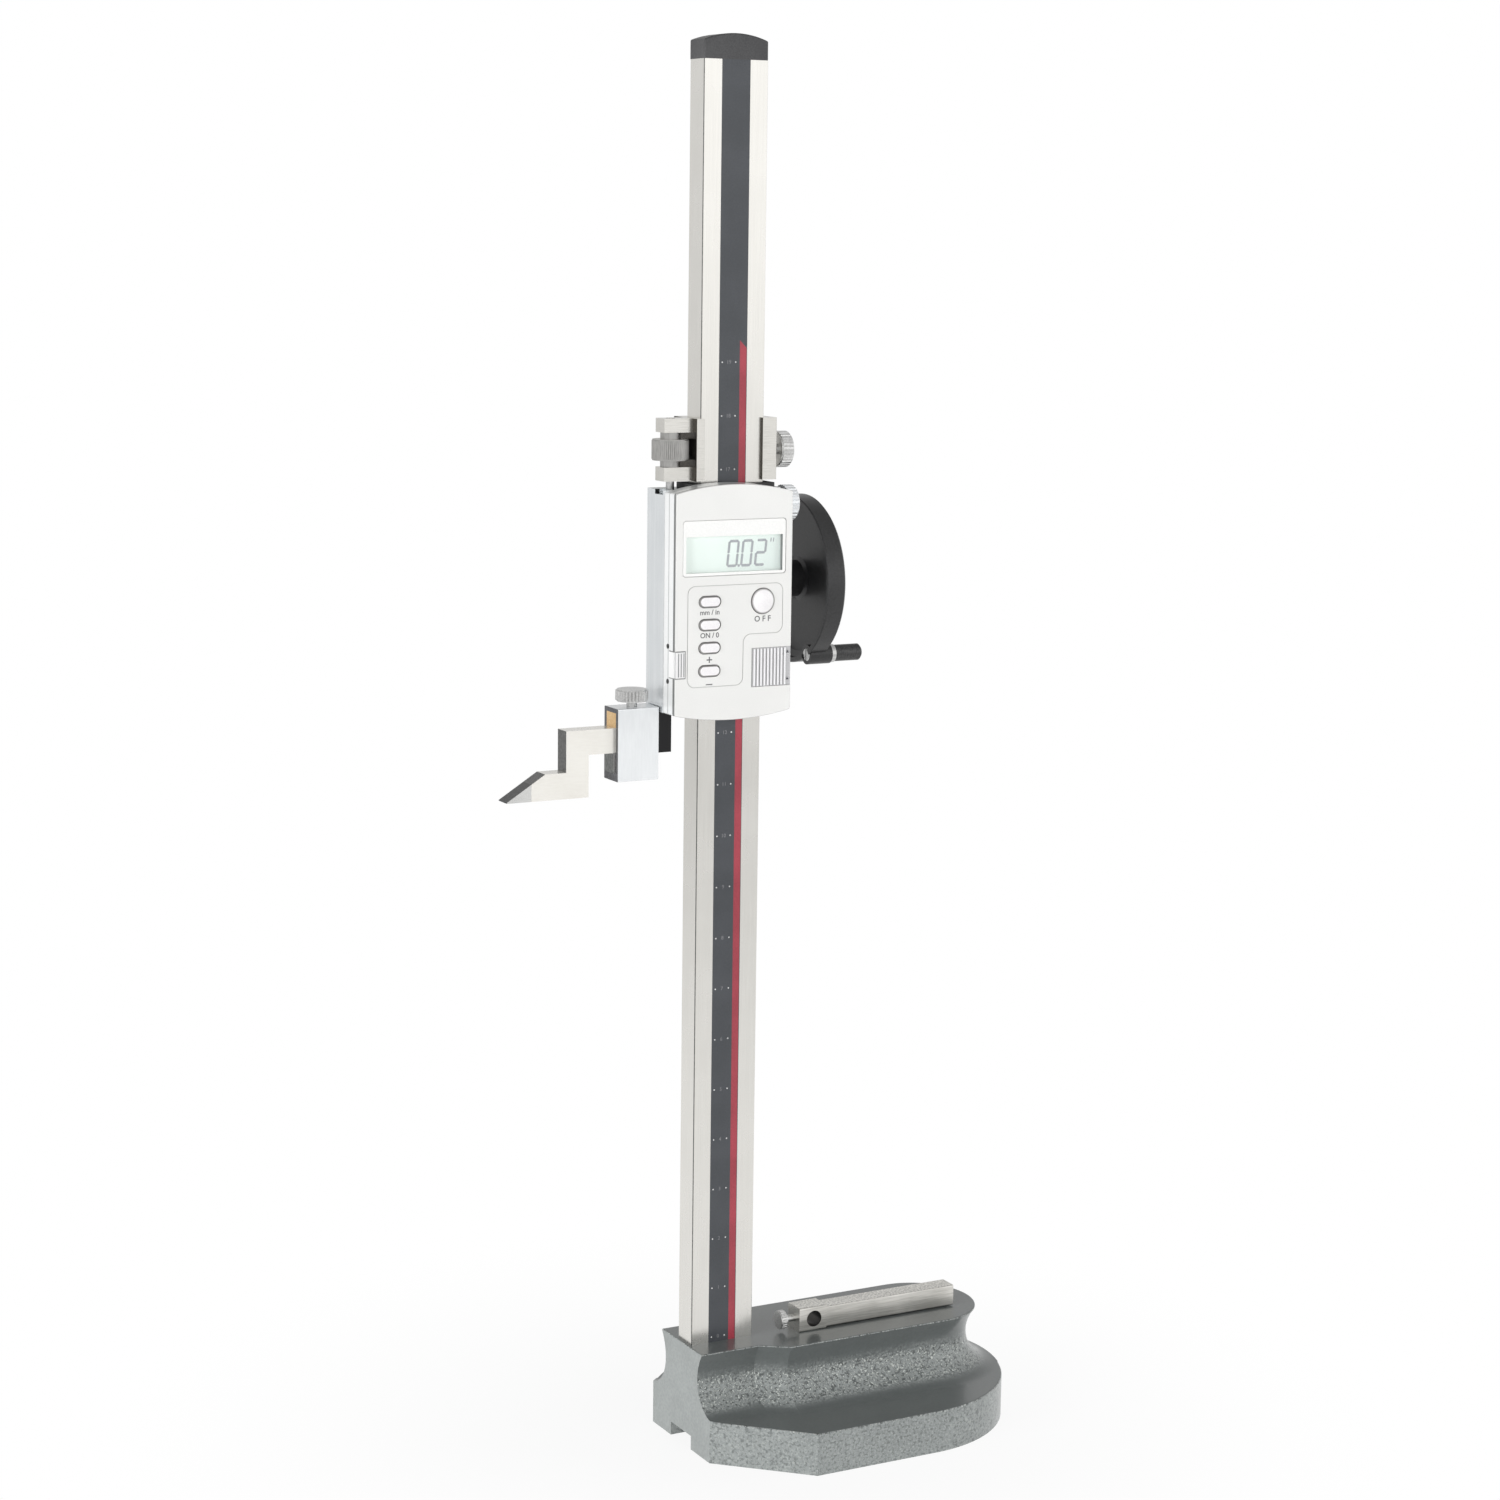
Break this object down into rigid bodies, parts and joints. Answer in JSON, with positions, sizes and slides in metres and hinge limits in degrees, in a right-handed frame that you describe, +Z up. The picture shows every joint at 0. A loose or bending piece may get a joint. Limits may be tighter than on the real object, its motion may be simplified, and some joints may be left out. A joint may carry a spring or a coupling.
{
  "type": "digital height gauge",
  "caption": "Digital height gauge: rack-driven slider with a display on an upright beam, cranked handwheel, fine adjustment, clamped scriber and a coved base.",
  "frame": {"origin": "on the surface plate under the base, at the middle of the bounding box", "axes": "+Z up along the beam, +X towards the round end of the base, -Y the front with the display"},
  "size_m": [0.274, 0.138, 0.6903],
  "materials": {
    "base_paint": "hammertone enamel",
    "beam_steel": "ground satin chrome",
    "tape": "matt black with white marks",
    "stripe": "gloss red",
    "cap": "black moulded",
    "steel": "ground",
    "slider_chrome": "satin chrome",
    "jaw_chrome": "satin chrome",
    "dark_steel": "blackened",
    "brass": "plain",
    "wiper_rubber": "matt",
    "housing": "satin silver white",
    "bezel": "white",
    "lens": "clear",
    "lcd": "grey green display",
    "board": "green laminate",
    "mat": "soft",
    "key": "satin silver",
    "power": "satin silver",
    "door": "satin silver white",
    "cell": "plain",
    "wheel": "black enamel",
    "carbide": "ground",
    "port": "black",
    "head_plastic": "black"
  },
  "bodies": {
    "base": {"base_casting": "base_paint", "beam": "beam_steel", "scale_tape": "tape", "red_stripe": "stripe", "top_cap": "cap", "foot_screws": "steel", "rack": "steel"},
    "slider": {"slider_frame": "slider_chrome", "gib_strip": "steel", "gib_screws": "dark_steel", "rear_housing": "slider_chrome", "rear_screws": "dark_steel", "pinion_cover": "slider_chrome", "bush_left": "brass", "bush_right": "brass", "wiper_top": "wiper_rubber", "wiper_bottom": "wiper_rubber", "housing_tray": "housing", "housing_screws": "steel", "side_screws": "dark_steel", "front_panel": "housing", "window_bezel": "bezel", "display_lens": "lens", "lcd_panel": "lcd", "circuit_board": "board", "reading_head": "head_plastic", "key_mat": "mat", "battery": "cell", "battery_contact": "steel", "data_port": "port", "fine_screw": "steel", "slider_shoe": "brass", "measuring_jaw": "dark_steel"},
    "handwheel_unit": {"handwheel": "wheel", "drive_pinion": "steel", "pinion_shaft": "steel", "wheel_screw": "dark_steel", "crank_pin": "steel"},
    "crank_grip_unit": {"crank_grip": "dark_steel"},
    "carriage_unit": {"carriage": "slider_chrome", "carriage_shoe": "brass"},
    "fine_nut_unit": {"fine_nut": "steel"},
    "carriage_knob_unit": {"carriage_knob": "slider_chrome"},
    "slider_knob_unit": {"slider_knob": "slider_chrome"},
    "clamp_unit": {"scriber_clamp": "slider_chrome", "clamp_pad": "brass"},
    "clamp_screw_unit": {"clamp_screw": "slider_chrome"},
    "scriber_unit": {"scriber": "jaw_chrome", "carbide_tip": "carbide"},
    "battery_door_unit": {"battery_door": "door"},
    "port_cover_unit": {"port_cover": "door"},
    "key_zero_unit": {"key_zero": "key"},
    "key_hold_unit": {"key_hold": "key"},
    "key_unit_unit": {"key_unit": "key"},
    "key_mode_unit": {"key_mode": "key"},
    "power_key_unit": {"power_key": "power"},
    "holder_unit": {"indicator_holder": "jaw_chrome"},
    "holder_screw_unit": {"holder_screw": "slider_chrome"}
  },
  "joints": [
    {"name": "slider_slide", "type": "slide", "parent": "base", "child": "slider", "axis": [0, 0, 1], "range_m": [-0.313, 0.16]},
    {"name": "handwheel_spin", "type": "hinge", "parent": "slider", "child": "handwheel_unit", "pos_m": [-0.02105, 0.0191, 0.43015], "axis": [1, 0, 0], "continuous": true},
    {"name": "crank_grip_spin", "type": "hinge", "parent": "handwheel_unit", "child": "crank_grip_unit", "pos_m": [-0.02105, 0.00049, 0.3944], "axis": [1, 0, 0], "continuous": true},
    {"name": "carriage_slide", "type": "slide", "parent": "slider", "child": "carriage_unit", "axis": [0, 0, 1], "range_m": [-0.0009, 0.005]},
    {"name": "fine_nut_spin", "type": "hinge", "parent": "carriage_unit", "child": "fine_nut_unit", "pos_m": [-0.05045, 0, 0.4965], "axis": [0, 0, 1], "range_deg": [-470, 2580]},
    {"name": "carriage_knob_spin", "type": "hinge", "parent": "carriage_unit", "child": "carriage_knob_unit", "pos_m": [0.00895, 0, 0.4955], "axis": [1, 0, 0], "range_deg": [0, 720]},
    {"name": "slider_knob_spin", "type": "hinge", "parent": "slider", "child": "slider_knob_unit", "pos_m": [0.01195, 0, 0.4695], "axis": [1, 0, 0], "range_deg": [0, 720]},
    {"name": "clamp_slide", "type": "slide", "parent": "slider", "child": "clamp_unit", "axis": [-1, 0, 0], "range_m": [0, 0.011]},
    {"name": "clamp_screw_spin", "type": "hinge", "parent": "clamp_unit", "child": "clamp_screw_unit", "pos_m": [-0.0699, 0, 0.378], "axis": [0, 0, 1], "range_deg": [0, 720]},
    {"name": "scriber_slide", "type": "slide", "parent": "slider", "child": "scriber_unit", "axis": [-1, 0, 0], "range_m": [0, 0.016]},
    {"name": "battery_door_slide", "type": "slide", "parent": "slider", "child": "battery_door_unit", "axis": [1, 0, 0], "range_m": [0, 0.022]},
    {"name": "port_cover_slide", "type": "slide", "parent": "slider", "child": "port_cover_unit", "axis": [-1, 0, 0], "range_m": [0, 0.008]},
    {"name": "key_zero_press", "type": "slide", "parent": "slider", "child": "key_zero_unit", "axis": [0, 1, 0], "range_m": [0, 0.0005], "stiffness_N_per_m": 800, "springref_m": -0.0003},
    {"name": "key_hold_press", "type": "slide", "parent": "slider", "child": "key_hold_unit", "axis": [0, 1, 0], "range_m": [0, 0.0005], "stiffness_N_per_m": 800, "springref_m": -0.0003},
    {"name": "key_unit_press", "type": "slide", "parent": "slider", "child": "key_unit_unit", "axis": [0, 1, 0], "range_m": [0, 0.0005], "stiffness_N_per_m": 800, "springref_m": -0.0003},
    {"name": "key_mode_press", "type": "slide", "parent": "slider", "child": "key_mode_unit", "axis": [0, 1, 0], "range_m": [0, 0.0005], "stiffness_N_per_m": 800, "springref_m": -0.0003},
    {"name": "power_key_press", "type": "slide", "parent": "slider", "child": "power_key_unit", "axis": [0, 1, 0], "range_m": [0, 0.0005], "stiffness_N_per_m": 800, "springref_m": -0.0003},
    {"name": "holder_lift", "type": "slide", "parent": "base", "child": "holder_unit", "axis": [0, 0, 1], "range_m": [0, 0.05]},
    {"name": "holder_screw_spin", "type": "hinge", "parent": "holder_unit", "child": "holder_screw_unit", "pos_m": [0.01395, -0.0086, 0.0587], "axis": [-1, 0, 0], "range_deg": [0, 720]}
  ],
  "couplings": [
    {"joint": "handwheel_spin", "follows": "slider_slide", "rad_per_m": 111.11},
    {"joint": "fine_nut_spin", "follows": "carriage_slide", "rad_per_m": 8976}
  ]
}
